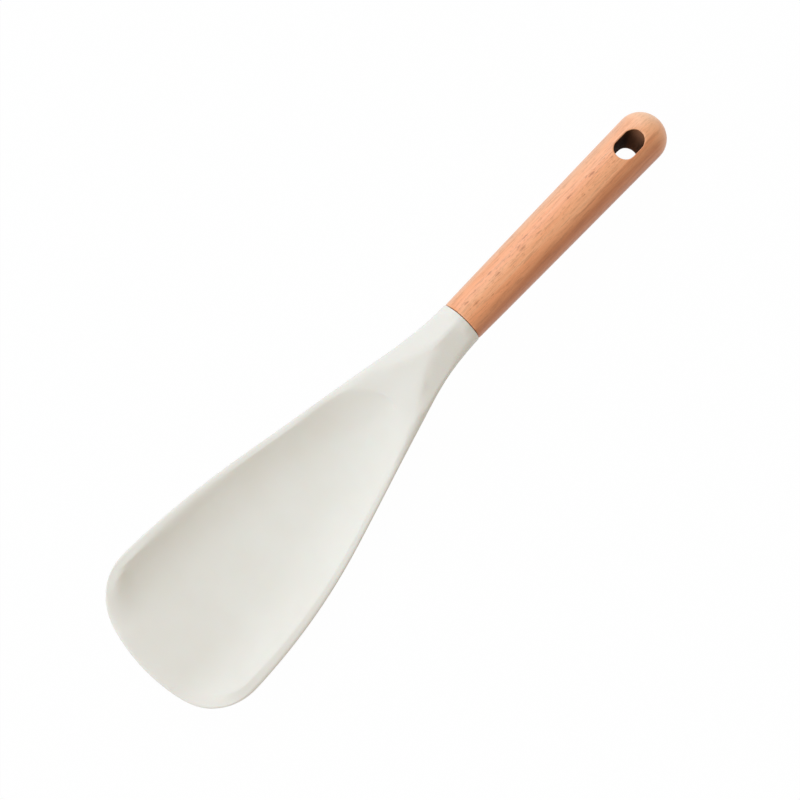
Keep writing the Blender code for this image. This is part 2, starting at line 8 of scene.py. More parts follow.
import bpy
from mathutils import Matrix, Vector
from mathutils.bvhtree import BVHTree
from mathutils.kdtree import KDTree


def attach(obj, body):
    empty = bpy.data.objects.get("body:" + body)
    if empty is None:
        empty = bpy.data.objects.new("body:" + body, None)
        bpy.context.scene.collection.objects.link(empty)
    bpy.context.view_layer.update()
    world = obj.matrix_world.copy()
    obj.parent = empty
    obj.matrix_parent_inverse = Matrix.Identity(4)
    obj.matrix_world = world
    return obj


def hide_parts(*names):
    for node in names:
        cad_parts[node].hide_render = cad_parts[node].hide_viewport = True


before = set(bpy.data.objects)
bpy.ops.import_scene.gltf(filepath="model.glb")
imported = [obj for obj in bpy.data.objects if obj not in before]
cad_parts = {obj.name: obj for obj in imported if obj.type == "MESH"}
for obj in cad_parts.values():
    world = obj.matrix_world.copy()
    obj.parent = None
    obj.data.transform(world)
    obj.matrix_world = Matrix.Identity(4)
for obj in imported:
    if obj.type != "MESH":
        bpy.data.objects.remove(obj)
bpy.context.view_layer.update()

MM = 0.001


# Silicone head
# One moulding of warm white silicone: the neck with its hip roof, the bowl, the rim and the thin lip.
# It is cast over the nylon core in a two-part mould with a fine spark-eroded surface, so it looks matte.

WELD = 0.002 * MM
GLUE_INSET = 2 * MM
CORE_SKIN = 0.6 * MM
NECK_FACE = 0.15 * MM
NECK_RADIUS = 10.5 * MM
NECK_FACE_RIM = 1.2 * MM
NECK_END_ROUND = 0.4 * MM
QUAD_FACE_ANGLE = math.radians(60)
QUAD_SHAPE_ANGLE = math.radians(70)
CREASE_ANGLE = 12
FULL_CREASE_ANGLE = 60
SOFTEST_CREASE = 0.35
HARDEST_CREASE = 0.75
ROOF_CREASE = 0.5
BOWL_EDGE_CREASE = 0.3
CORNER_CREASE = 0.6
CRISP_START = 166 * MM
CRISP_END = 184 * MM
INWARD_LEAN = 0.1
UPWARD = 0.3
NOSE_START = 33 * MM
NOSE_END = 80 * MM
NOSE_ROUND = 9.0 * MM
SIDE_ROUND = 4.2 * MM
CORNER_ROUND = 0.9 * MM
LIP_ROUND = 9.0 * MM
ROUND_CORE = 0.4
LIP_CORE = 0.5
ROUNDING_PASSES = 60
LIP_PASSES = 120
NOSE_REACH = 20.0 * MM
ROOF_STRIP = 1.5 * MM
ROOF_FADE = 4.5 * MM
NOSE_PASSES = 420
NOSE_SOFT_START = 58 * MM
NOSE_SOFT_END = 85 * MM
OUTLINE_STRIP = 0.8 * MM
OUTLINE_FADE = 2.6 * MM
CORNER_START = 192 * MM
CORNER_END = 201 * MM
HEAD_LEVELS = 2
HEAD_SMOOTH_ANGLE = math.radians(50)
SILICONE_COLOUR = (0.80, 0.776, 0.717)
SILICONE_SHADE = (0.785, 0.758, 0.694)
CLOUD_SIZE = 22 * MM
GRIT_SIZE = 0.35 * MM


class Wire:
    """A shader socket that does maths: an expression on wires adds its Math nodes."""

    def __init__(self, shader, socket):
        self.shader = shader
        self.socket = socket

    def math(self, operation, *values):
        return self.shader.add("ShaderNodeMath", {"operation": operation}, *values)

    def __add__(self, other):
        return self.math("ADD", self, other)

    def __sub__(self, other):
        return self.math("SUBTRACT", self, other)

    def __rsub__(self, other):
        return self.math("SUBTRACT", other, self)

    def __mul__(self, other):
        return self.math("MULTIPLY", self, other)

    def __truediv__(self, other):
        return self.math("DIVIDE", self, other)

    __radd__ = __add__
    __rmul__ = __mul__


class Finish:
    """A material of one Principled shader, whose constants are set on its sockets."""

    def __init__(self, name, **constants):
        self.material = bpy.data.materials.new(name)
        self.material.use_nodes = True
        self.tree = self.material.node_tree
        self.body = self.tree.nodes["Principled BSDF"]
        for socket, value in constants.items():
            self.body.inputs[socket.replace("_", " ")].default_value = value

    def add(self, kind, settings, *values, out=0, **named):
        """Add a node: its settings, then values or wires for its sockets by order or by name."""
        node = self.tree.nodes.new(kind)
        for key, value in settings.items():
            setattr(node, key, value)
        sockets = dict(enumerate(values))
        sockets.update({name.replace("_", " "): value for name, value in named.items()})
        for key, value in sockets.items():
            self.feed(node.inputs[key], value)
        return Wire(self, node.outputs[out])

    def feed(self, socket, value):
        if isinstance(value, Wire):
            self.tree.links.new(value.socket, socket)
        else:
            socket.default_value = value

    def mix(self, share, low, high):
        """Colour between low and high; both are RGB or wires."""
        sides = [side if isinstance(side, Wire) else (*side, 1.0) for side in (low, high)]
        node = self.tree.nodes.new("ShaderNodeMix")
        node.data_type = "RGBA"
        self.feed(node.inputs[0], share)
        self.feed(node.inputs[6], sides[0])
        self.feed(node.inputs[7], sides[1])
        return Wire(self, node.outputs[2])

    def paint(self, socket, value):
        self.feed(self.body.inputs[socket], value)

    def bump(self, height, distance, strength):
        self.paint("Normal", self.add("ShaderNodeBump", {}, Strength=strength, Distance=distance,
                                      Height=height))

    def object_place(self):
        return self.add("ShaderNodeTexCoord", {}, out="Object")

    def ramp(self, value, low, high):
        """Smooth step of a wire between two limits, 0 to 1; low may lie above high."""
        return self.add("ShaderNodeMapRange", {"interpolation_type": "SMOOTHSTEP"}, value, low, high)

    def stretched(self, place, x, y, z):
        """A place measured in lengths that differ by axis, so that a pattern is drawn out along it."""
        return self.add("ShaderNodeMapping", {}, place, Scale=(1 / x, 1 / y, 1 / z))

    def noise(self, place, detail=2.0, out=0):
        return self.add("ShaderNodeTexNoise", {}, place, Scale=1.0, Detail=detail, out=out)

    def cells(self, place, out=0):
        """Distance to the middle of the nearest cell, or with out="Color" a random value per cell."""
        return self.add("ShaderNodeTexVoronoi", {}, place, Scale=1.0, out=out)

    def axes(self, place):
        """The x, y and z of a place, as three wires."""
        split = self.add("ShaderNodeSeparateXYZ", {}, place)
        return [Wire(self, output) for output in split.socket.node.outputs]

    def on_handle(self):
        """Place in the spoon's own frame: x along the handle from the joint, z out of the bowl."""
        return self.add("ShaderNodeMapping", {"vector_type": "TEXTURE"}, self.object_place(),
                        Location=tuple(joint), Rotation=(0.0, tilt, 0.0))


def only(piece):
    """Select one object alone and make it active."""
    bpy.ops.object.select_all(action="DESELECT")
    piece.select_set(True)
    bpy.context.view_layer.objects.active = piece


def pick(piece, kind, wanted):
    """In edit mode, select the vertices, edges or faces for which wanted(element) is true."""
    bpy.ops.mesh.select_mode(type=kind)
    bpy.ops.mesh.select_all(action="DESELECT")
    bpy.ops.object.mode_set(mode="OBJECT")
    parts = {"VERT": piece.data.vertices, "EDGE": piece.data.edges, "FACE": piece.data.polygons}[kind]
    for part in parts:
        part.select = bool(wanted(part))
    bpy.ops.object.mode_set(mode="EDIT")


def subdivide(piece, levels):
    """Apply a Subdivision Surface to a piece."""
    surface = piece.modifiers.new("surface", "SUBSURF")
    surface.levels = levels
    surface.render_levels = levels
    only(piece)
    bpy.ops.object.modifier_apply(modifier=surface.name)


def edge_sides(mesh):
    """Normals of the two faces at each edge, by the edge's vertex pair."""
    sides = {}
    for face in mesh.polygons:
        for key in face.edge_keys:
            sides.setdefault(key, []).append(face.normal)
    return sides


def ease(low, high, value):
    """Smooth step of a value between two limits, 0 to 1."""
    t = min(max((value - low) / (high - low), 0.0), 1.0)
    return t * t * (3.0 - 2.0 * t)


def middle_of(points):
    """Middle of the box round some points."""
    return Vector([(min(p[i] for p in points) + max(p[i] for p in points)) / 2 for i in range(3)])


# The handle's axis runs through the two ends of the glue sleeve. In the spoon's own frame, x is 0
# at the joint between silicone and wood and grows along the handle, and z is up out of the bowl.

sleeve = [v.co.copy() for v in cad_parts["tang_glue"].data.vertices]
sleeve_middle = middle_of(sleeve)
near_end = middle_of([co for co in sleeve if co.x < sleeve_middle.x])
far_end = middle_of([co for co in sleeve if co.x > sleeve_middle.x])
along = (far_end - near_end).normalized()
joint = near_end - along * GLUE_INSET
tilt = math.atan2(-along.z, along.x)
spoon = Matrix.Translation(joint) @ Matrix.Rotation(tilt, 4, "Y")
to_spoon = spoon.inverted()

core_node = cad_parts["head_core"]
core_shape = BVHTree.FromPolygons([v.co for v in core_node.data.vertices],
                                  [p.vertices for p in core_node.data.polygons])

head = bpy.data.objects.new("spoon_head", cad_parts["silicone_head"].data.copy())
bpy.context.scene.collection.objects.link(head)
only(head)
bpy.ops.object.mode_set(mode="EDIT")
bpy.ops.mesh.select_all(action="SELECT")
bpy.ops.mesh.remove_doubles(threshold=WELD)
bpy.ops.object.mode_set(mode="OBJECT")

inside = [core_shape.find_nearest(v.co)[3] < CORE_SKIN for v in head.data.vertices]
bpy.ops.object.mode_set(mode="EDIT")
pick(head, "FACE", lambda face: not any(inside[i] for i in face.vertices))
bpy.ops.mesh.tris_convert_to_quads(face_threshold=QUAD_FACE_ANGLE, shape_threshold=QUAD_SHAPE_ANGLE)


def at_neck_face(points):
    return all((to_spoon @ co).x > -NECK_FACE - WELD for co in points)


def edge_ends(piece, edge):
    return [piece.data.vertices[i].co for i in edge.vertices]


def on_neck_rim(edge):
    """Whether an edge runs round the neck's end face."""
    ends = edge_ends(head, edge)
    outer = NECK_RADIUS - NECK_FACE_RIM / 2
    return at_neck_face(ends) and all((co - joint).cross(along).length > outer for co in ends)


# The neck's end face is remade: a narrow ring along its edge, whose corner gets a small round, and
# a bridge from there to the hole for the core.

pick(head, "FACE", lambda face: at_neck_face([face.center]))
bpy.ops.mesh.delete(type="FACE")
pick(head, "EDGE", on_neck_rim)
bpy.ops.mesh.extrude_edges_indiv()
shrink = 1.0 - NECK_FACE_RIM / NECK_RADIUS
bpy.ops.transform.resize(value=(shrink, shrink, shrink), center_override=joint - along * NECK_FACE)
bpy.ops.mesh.select_mode(type="EDGE")
bpy.ops.mesh.select_all(action="DESELECT")
bpy.ops.mesh.select_non_manifold()
bpy.ops.mesh.bridge_edge_loops()
pick(head, "EDGE", on_neck_rim)
bpy.ops.mesh.bevel(offset=NECK_END_ROUND, segments=2, profile=0.5, affect="EDGES")
bpy.ops.mesh.select_all(action="SELECT")
bpy.ops.mesh.normals_make_consistent(inside=False)
bpy.ops.object.mode_set(mode="OBJECT")

places = [to_spoon @ v.co for v in head.data.vertices]
inside = [core_shape.find_nearest(v.co)[3] < CORE_SKIN for v in head.data.vertices]
crease = head.data.attributes.new("crease_edge", "FLOAT", "EDGE")
bowl_edge = []
roof_edge = []
outline = []
for edge, sides in zip(head.data.edges, map(edge_sides(head.data).get, head.data.edge_keys)):
    start, end = edge.vertices
    if inside[start] and inside[end]:
        crease.data[edge.index].value = 1.0
        continue
    middle = (places[start] + places[end]) / 2
    if min(side.z for side in sides) < 0 < max(side.z for side in sides):
        outline.append(middle)
    angle = math.degrees(sides[0].angle(sides[1]))
    if angle < CREASE_ANGLE:
        continue
    inward = max(-side.y * math.copysign(1.0, middle.y) for side in sides)
    faces_up = min(side.z for side in sides) > UPWARD
    if faces_up and inward > INWARD_LEAN and middle.x < -NOSE_START:
        bowl_edge.append(middle)
        sharper = ease(CRISP_START, CRISP_END, -middle.x)
        corner = ease(CORNER_START, CORNER_END, -middle.x)
        wanted = BOWL_EDGE_CREASE + (CORNER_CREASE - BOWL_EDGE_CREASE) * sharper
        crease.data[edge.index].value = wanted * (1 - corner)
    elif faces_up and middle.x > -NOSE_END:
        roof_edge.append(middle)
        crease.data[edge.index].value = ROOF_CREASE
    else:
        share = min((angle - CREASE_ANGLE) / (FULL_CREASE_ANGLE - CREASE_ANGLE), 1.0)
        crease.data[edge.index].value = SOFTEST_CREASE + (HARDEST_CREASE - SOFTEST_CREASE) * share
subdivide(head, HEAD_LEVELS)


def tree_of(points):
    tree = KDTree(len(points))
    for i, point in enumerate(points):
        tree.insert(point, i)
    tree.balance()
    return tree


def soften(piece, name, share_of, passes):
    """Smooth a piece by a share from 0 to 1 that a function gives for each vertex."""
    group = piece.vertex_groups.new(name=name)
    for vertex in piece.data.vertices:
        share = share_of(vertex)
        if share > 0:
            group.add([vertex.index], share, "REPLACE")
    smooth = piece.modifiers.new(name, "SMOOTH")
    smooth.factor = 0.5
    smooth.iterations = passes
    smooth.vertex_group = group.name
    only(piece)
    bpy.ops.object.modifier_apply(modifier=smooth.name)
    piece.vertex_groups.clear()


bowl_tree = tree_of(bowl_edge)
roof_tree = tree_of(roof_edge)
outline_tree = tree_of(outline)


def near_bowl_edge(vertex, place, core, reach):
    """1 on the top side near the bowl's edge, fading to 0 at the reach and at the head's outline."""
    if vertex.normal.z < UPWARD:
        return 0.0
    inside_outline = ease(OUTLINE_STRIP, OUTLINE_FADE, outline_tree.find(place)[2])
    return inside_outline * (1 - ease(core * reach, reach, bowl_tree.find(place)[2]))


def rounding_share(vertex):
    """The bowl's edge is round by the nose, less so along the sides, and crisp at the front corners."""
    place = to_spoon @ vertex.co
    to_side = ease(NOSE_START, NOSE_END, -place.x)
    to_corner = ease(CRISP_START, CRISP_END, -place.x)
    reach = NOSE_ROUND + (SIDE_ROUND + (CORNER_ROUND - SIDE_ROUND) * to_corner - NOSE_ROUND) * to_side
    return near_bowl_edge(vertex, place, ROUND_CORE, reach)


def lip_share(vertex):
    """Past the front corners the wall dies out into the lip."""
    place = to_spoon @ vertex.co
    near_edge = near_bowl_edge(vertex, place, LIP_CORE, LIP_ROUND)
    return near_edge * ease(CORNER_START, CORNER_END, -place.x)


def nose_share(vertex):
    """The rear end of the bowl fades into the neck without an edge, but the roof's folds stay."""
    place = to_spoon @ vertex.co
    near_edge = near_bowl_edge(vertex, place, ROUND_CORE, NOSE_REACH)
    off_roof = ease(ROOF_STRIP, ROOF_FADE, roof_tree.find(place)[2])
    return near_edge * off_roof * (1 - ease(NOSE_SOFT_START, NOSE_SOFT_END, -place.x))


soften(head, "rounding", rounding_share, ROUNDING_PASSES)
soften(head, "nose_fade", nose_share, NOSE_PASSES)
soften(head, "lip_fade", lip_share, LIP_PASSES)
bpy.ops.object.shade_smooth_by_angle(angle=HEAD_SMOOTH_ANGLE)

silicone = Finish("silicone", Roughness=0.55, Subsurface_Weight=0.12, Subsurface_Scale=1.5 * MM)
place = silicone.object_place()
cloud = silicone.noise(silicone.stretched(place, CLOUD_SIZE, CLOUD_SIZE, CLOUD_SIZE))
cloudy = silicone.ramp(cloud, 0.35, 0.7)
silicone.paint("Base Color", silicone.mix(cloudy, SILICONE_COLOUR, SILICONE_SHADE))
grit = silicone.noise(silicone.stretched(place, GRIT_SIZE, GRIT_SIZE, GRIT_SIZE), detail=3.0)
silicone.paint("Roughness", 0.5 + 0.12 * grit)
silicone.bump(grit, 0.02 * MM, 0.6)
head.data.materials.clear()
head.data.materials.append(silicone.material)
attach(head, "root")
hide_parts("silicone_head")


# Nylon core
# Glass-filled grey nylon, moulded first and then covered by the silicone, so only its barbed tang
# shows, and only when the handle is off.

NYLON_COLOUR = (0.30, 0.31, 0.32)
NYLON_DARK = (0.22, 0.23, 0.24)

nylon = Finish("nylon", Roughness=0.5)
place = nylon.object_place()
cloud = nylon.noise(nylon.stretched(place, 6 * MM, 6 * MM, 6 * MM))
fill = nylon.noise(nylon.stretched(place, 0.5 * MM, 0.2 * MM, 0.2 * MM), detail=3.0)
darker = 0.6 * nylon.ramp(cloud, 0.3, 0.7) + 0.3 * fill
nylon.paint("Base Color", nylon.mix(darker, NYLON_COLOUR, NYLON_DARK))
nylon.paint("Roughness", 0.42 + 0.2 * fill)
nylon.bump(fill, 0.03 * MM, 0.7)
core_node.data.materials.clear()
core_node.data.materials.append(nylon.material)


# Glue in the handle's bore
# Cured amber epoxy between the tang and the drilled wood, with small bubbles and a glossy skin.

GLUE_COLOUR = (0.70, 0.60, 0.38)
GLUE_DARK = (0.52, 0.40, 0.20)

glue = Finish("glue", Roughness=0.2, Coat_Weight=0.3, Coat_Roughness=0.1)
place = glue.object_place()
cloud = glue.noise(glue.stretched(place, 4 * MM, 3 * MM, 3 * MM))
bubble = glue.cells(glue.stretched(place, 1.6 * MM, 1.6 * MM, 1.6 * MM))
glue.paint("Base Color", glue.mix(glue.ramp(cloud, 0.35, 0.7), GLUE_COLOUR, GLUE_DARK))
glue.paint("Roughness", 0.16 + 0.2 * cloud)
glue.bump(glue.ramp(bubble, 0.1, 0.25), 0.05 * MM, 0.8)
glue_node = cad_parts["tang_glue"]
glue_node.data.materials.clear()
glue_node.data.materials.append(glue.material)


# Beech handle
# One piece of steamed beech, turned to a slight swell, sanded and oiled. A blind bore in the joint end
# holds the glued tang, and a routed slot near the domed end is for hanging.

HANDLE_LENGTH = 127.1 * MM
JOINT_FACE = 0.15 * MM
JOINT_RADIUS = 10.3 * MM
END_RADIUS = 11.85 * MM
SWELL_POWER = 0.85
DOME_LENGTH = 10.6 * MM
EDGE_BREAK = 0.4 * MM
HANDLE_SIDES = 32
GRIP_RINGS = 9
DOME_RINGS = 6
FIRST_DOME_ANGLE = 8
LAST_DOME_ANGLE = 82
HANDLE_LEVELS = 2
BORE_RADIUS = 5.2 * MM
BORE_DEPTH = 59.5 * MM
DRILL_POINT = 3.1 * MM
DRILL_TIP_RADIUS = 0.4 * MM
SLOT_MIDDLE = 106.2 * MM
SLOT_LENGTH = 15.2 * MM
SLOT_WIDTH = 9.8 * MM
SLOT_MARGIN = 2.5 * MM
SLOT_STEPS = 8
PATCH_SIDES = 3
PATCH_MARGIN = 0.2
PATCH_UPRIGHT = 0.7
SLOT_EDGE_ROUND = 0.7 * MM
SLOT_EDGE_HEIGHT = 0.8
SLOT_EDGE_NEAR = 0.1 * MM
SLOT_WALL_NEAR = 0.05 * MM
SLOT_WALL_CUTS = 4
JOINT_CREASE = 0.4
HANDLE_SMOOTH_ANGLE = math.radians(40)
BEECH_LIGHT = (0.95, 0.470, 0.248)
BEECH_MIDDLE = (0.92, 0.374, 0.170)
# Painted shade for the side of the grip away from the lamps.
BEECH_PAINTED_SHADE = (0.58, 0.198, 0.070)
# Painted light over the whole domed end, and a whitish painted highlight on its side towards the lamps.
BEECH_PAINTED_HIGHLIGHT = (1.0, 0.64, 0.415)
BEECH_PAINTED_END_LIGHT = (1.0, 0.50, 0.262)
BEECH_FLECK = (0.46, 0.15, 0.056)
BEECH_FIBRE = (0.33, 0.11, 0.045)
# Painted sheen, a paler and greyer tone, for the side of the grip towards the lamps.
BEECH_PAINTED_SHEEN = (0.80, 0.46, 0.29)
DARK_SIDE_START = -4.4 * MM
DARK_SIDE_END = -8.6 * MM
DARK_SIDE_WANDER = 4 * MM
LIGHT_SIDE_START = 6.0 * MM
LIGHT_SIDE_END = 10.0 * MM
PALE_END_START = HANDLE_LENGTH - 14 * MM
PALE_END_END = HANDLE_LENGTH - 4 * MM
PALE_SIDE_START = -5 * MM
PALE_SIDE_END = 3 * MM
FLECK_BAND = 1.5 * MM
FLECK_BAND_FADE = 5.0 * MM
FLECK_BAND_FULL = 2.0 * MM
FLECK_BAND_WANDER = 2 * MM
SEAM = -5.4 * MM
SEAM_FADE = 0.7 * MM
SEAM_FULL = 0.1 * MM
SEAM_START = 55 * MM
SEAM_END = 75 * MM
SEAM_WANDER = 3 * MM
BORE_STAIN_FADE = 0.4 * MM
BORE_STAIN_FULL = 0.1 * MM
LIGHT_SIDE_SHARE = 0.6
SEAM_SHARE = 0.3
END_SHARE = 0.85
PALE_SHARE = 0.7
END_FAINTNESS = 0.6
STREAK_SHARE = 0.32
FIBRE_SHARE = 0.12
PORE_SHARE = 0.10
DASH_SHARE = 0.42
FLECK_SHARE = 0.75
BORE_SHARE = 0.5
# The routed wall: end grain darkened by oil and by painted shade, with a painted light tone near the
# handle's end where the lamps reach it.
SLOT_WALL_OIL_AND_SHADE = (0.055, 0.020, 0.006)
SLOT_WALL_PAINTED_LIGHT = (0.36, 0.16, 0.085)
SLOT_WALL_FADE_START = SLOT_MIDDLE + 6 * MM
SLOT_WALL_FADE_END = SLOT_MIDDLE + 10.5 * MM


def handle_radius(x):
    """Radius of the turned wood at a distance from the joint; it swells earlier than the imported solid."""
    dome = HANDLE_LENGTH - DOME_LENGTH
    swell = (min(x, dome) / dome) ** SWELL_POWER
    radius = JOINT_RADIUS + (END_RADIUS - JOINT_RADIUS) * swell
    if x <= dome:
        return radius
    return radius * math.sqrt(max(1.0 - ((x - dome) / DOME_LENGTH) ** 2, 0.0))


def evenly(start, end, count):
    """Count values from start to end, without start itself."""
    return [start + (end - start) * (i + 1) / count for i in range(count)]


def turn_rings(profile):
    """From the selected ring, turn a tube on x through a list of places on the axis and radii."""
    for (last_x, last_radius), (x, radius) in zip(profile, profile[1:]):
        bpy.ops.mesh.extrude_edges_indiv()
        bpy.ops.transform.translate(value=(x - last_x, 0.0, 0.0))
        scale = radius / last_radius
        bpy.ops.transform.resize(value=(1.0, scale, scale), center_override=(x, 0.0, 0.0))


def slot_point(share):
    """Point of the slot's outline at a share of its way round, from the middle of its +y side."""
    end_radius = SLOT_WIDTH / 2
    straight = SLOT_LENGTH / 2 - end_radius
    quarter = straight + math.pi / 2 * end_radius
    lap = share % 1.0 * 4
    run = (lap % 1.0 if int(lap) % 2 == 0 else 1.0 - lap % 1.0) * quarter
    x, y = run, end_radius
    if run > straight:
        angle = (run - straight) / end_radius
        x, y = straight + end_radius * math.sin(angle), end_radius * math.cos(angle)
    return (x if lap < 2 else -x), (y if lap < 1 or lap >= 3 else -y)


# A ring settles inside its cage when the surface is subdivided, so the cage is wider by this factor.

cage = 3.0 / (2.0 + math.cos(2 * math.pi / HANDLE_SIDES))
slot_reach = SLOT_LENGTH / 2 + SLOT_MARGIN
dome_start = HANDLE_LENGTH - DOME_LENGTH
grip_start = JOINT_FACE + EDGE_BREAK
stations = [grip_start] + evenly(grip_start, SLOT_MIDDLE - slot_reach, GRIP_RINGS)
stations += evenly(SLOT_MIDDLE - slot_reach, SLOT_MIDDLE + slot_reach, SLOT_STEPS)
stations += [dome_start + DOME_LENGTH * math.sin(math.radians(angle))
             for angle in [FIRST_DOME_ANGLE] + evenly(FIRST_DOME_ANGLE, LAST_DOME_ANGLE, DOME_RINGS)]

profile = [(BORE_DEPTH + DRILL_POINT, DRILL_TIP_RADIUS), (BORE_DEPTH, BORE_RADIUS),
           (JOINT_FACE, BORE_RADIUS), (JOINT_FACE, handle_radius(JOINT_FACE) - EDGE_BREAK)]
profile += [(x, handle_radius(x)) for x in stations]

bpy.ops.object.select_all(action="DESELECT")
bpy.ops.mesh.primitive_circle_add(vertices=HANDLE_SIDES, radius=profile[0][1] * cage, fill_type="NOTHING",
                                  location=(profile[0][0], 0.0, 0.0), rotation=(0.0, math.pi / 2, 0.0))
handle = bpy.context.active_object
handle.name = "beech_grip"
bpy.ops.object.transform_apply(location=True, rotation=True, scale=True)
bpy.ops.object.mode_set(mode="EDIT")
bpy.ops.mesh.select_mode(type="EDGE")
bpy.ops.mesh.select_all(action="SELECT")
turn_rings(profile)
bpy.ops.mesh.select_all(action="SELECT")
bpy.ops.mesh.fill_holes(sides=0)

# The slot: a patch of the top and one of the bottom are opened, their edges are drawn in to the slot's
# outline in two steps, and a wall joins the two openings.

patch = math.sin(math.radians(360 / HANDLE_SIDES * (PATCH_SIDES + PATCH_MARGIN)))


def in_patch(face):
    near = abs(face.center.x - SLOT_MIDDLE) < slot_reach
    inner = abs(face.center.y) < patch * handle_radius(face.center.x)
    return near and inner and abs(face.normal.z) > PATCH_UPRIGHT


pick(handle, "FACE", in_patch)
bpy.ops.mesh.delete(type="FACE")
bpy.ops.mesh.select_mode(type="EDGE")
for step in (0.5, 1.0):
    bpy.ops.mesh.select_non_manifold(extend=False, use_wire=False, use_multi_face=False,
                                     use_non_contiguous=False, use_verts=False)
    bpy.ops.mesh.extrude_edges_indiv()
    bpy.ops.object.mode_set(mode="OBJECT")
    for side in (1, -1):
        loop = [v for v in handle.data.vertices if v.select and v.co.z * side > 0]
        loop.sort(key=lambda v: math.atan2(v.co.x - SLOT_MIDDLE, v.co.y) % (2 * math.pi))
        for i, vertex in enumerate(loop):
            x, y = slot_point(i / len(loop))
            vertex.co.x += (SLOT_MIDDLE + x - vertex.co.x) * step
            vertex.co.y += (y - vertex.co.y) * step
            radius = handle_radius(vertex.co.x) * cage
            vertex.co.z = side * math.sqrt(radius ** 2 - vertex.co.y ** 2)
    bpy.ops.object.mode_set(mode="EDIT")
bpy.ops.mesh.bridge_edge_loops(number_cuts=SLOT_WALL_CUTS)
slot_edge_low = SLOT_EDGE_HEIGHT * handle_radius(SLOT_MIDDLE)


def on_slot_edge(edge):
    return all(abs(co.z) > slot_edge_low and slot_distance(co) < SLOT_EDGE_NEAR
               for co in edge_ends(handle, edge))


def slot_distance(co):
    """How far a point lies outside the slot's outline."""
    straight = (SLOT_LENGTH - SLOT_WIDTH) / 2
    return math.hypot(max(abs(co.x - SLOT_MIDDLE) - straight, 0.0), co.y) - SLOT_WIDTH / 2


pick(handle, "EDGE", on_slot_edge)
bpy.ops.mesh.bevel(offset=SLOT_EDGE_ROUND, segments=2, profile=0.5, affect="EDGES")
bpy.ops.mesh.select_all(action="SELECT")
bpy.ops.mesh.normals_make_consistent(inside=False)
bpy.ops.object.mode_set(mode="OBJECT")

crease = handle.data.attributes.new("crease_edge", "FLOAT", "EDGE")
for edge in handle.data.edges:
    ends = edge_ends(handle, edge)
    if all(co.x < grip_start + WELD for co in ends) and abs(ends[0].x - ends[1].x) < WELD:
        crease.data[edge.index].value = 1.0 if ends[0].x < grip_start - WELD else JOINT_CREASE
    elif all(abs(co.x - BORE_DEPTH) < WELD for co in ends):
        crease.data[edge.index].value = 1.0
subdivide(handle, HANDLE_LEVELS)
handle.matrix_world = spoon
only(handle)
bpy.ops.object.transform_apply(location=True, rotation=True, scale=True)
bpy.ops.object.shade_smooth_by_angle(angle=HANDLE_SMOOTH_ANGLE)

beech = Finish("beech", Roughness=0.5, Coat_Weight=0.4, Coat_Roughness=0.32)
place = beech.on_handle()
x, y, z = beech.axes(place)

# The wood's patterns: growth bands, short streaks and fine fibre, ray flecks in a wandering band along
# the top, dark dashes, pores, and the drilled wall of the bore.

wander = beech.noise(beech.stretched(place, 40 * MM, 7 * MM, 9 * MM), detail=2.0)
bands = beech.noise(beech.stretched(place, 90 * MM, 2.4 * MM, 6 * MM), detail=3.0)
shift = beech.noise(beech.stretched(place, 1.6 * MM, 0.9 * MM, 1.2 * MM), out="Color")
ragged = beech.add("ShaderNodeVectorMath", {"operation": "MULTIPLY_ADD"}, shift,
                   (2.6 * MM, 0.9 * MM, 1.2 * MM), place)
streak = beech.noise(beech.stretched(ragged, 9 * MM, 0.6 * MM, 1.2 * MM), detail=3.0)
fibre = beech.noise(beech.stretched(place, 5 * MM, 0.22 * MM, 0.25 * MM), detail=3.0)
cluster = beech.noise(beech.stretched(place, 11 * MM, 4 * MM, 8 * MM), detail=1.0)
off_band = beech.add("ShaderNodeMath", {"operation": "ABSOLUTE"}, y - FLECK_BAND)
on_band = beech.ramp(off_band + (wander - 0.5) * FLECK_BAND_WANDER, FLECK_BAND_FADE, FLECK_BAND_FULL)
ray_place = beech.stretched(ragged, 4.0 * MM, 1.05 * MM, 3.6 * MM)
ray = beech.cells(ray_place)
chance = beech.cells(ray_place, out="Color")
reach = beech.ramp(chance * 0.5 + cluster * 0.5, 0.52, 0.74) * (on_band + 0.15) * 0.7
fleck = beech.ramp(ray / (reach + 0.02), 1.0, 0.2)
dash = beech.noise(beech.stretched(ragged, 2.4 * MM, 0.45 * MM, 2.0 * MM), detail=3.0)
dashes = beech.ramp(dash + 0.05 * on_band, 0.60, 0.78)
pore = beech.cells(beech.stretched(place, 1.1 * MM, 0.16 * MM, 0.16 * MM))
pores = beech.ramp(pore, 0.32, 0.12)
bore_wall = beech.ramp(beech.add("ShaderNodeMath", {"operation": "SQRT"}, y * y + z * z),
                       BORE_RADIUS + BORE_STAIN_FADE, BORE_RADIUS + BORE_STAIN_FULL)
bore_wall = bore_wall * beech.ramp(x, BORE_DEPTH + 2 * DRILL_POINT, BORE_DEPTH + DRILL_POINT)

# Its colour: the broad tones first; over them painted shade darkens the side away from the lamps, a painted
# sheen pales the side towards them, and painted light makes the domed end paler, most of all towards the
# lamps as a painted highlight. Then the marks.

colour = beech.mix(beech.ramp(bands, 0.3, 0.7), BEECH_LIGHT, BEECH_MIDDLE)
# Painted shade: the side away from the lamps is darkened, its edge wandering a little.
painted_shade_side = beech.ramp(y + (wander - 0.5) * DARK_SIDE_WANDER, DARK_SIDE_START, DARK_SIDE_END)
colour = beech.mix(painted_shade_side * (0.75 + 0.3 * beech.ramp(bands, 0.35, 0.65)), colour, BEECH_PAINTED_SHADE)
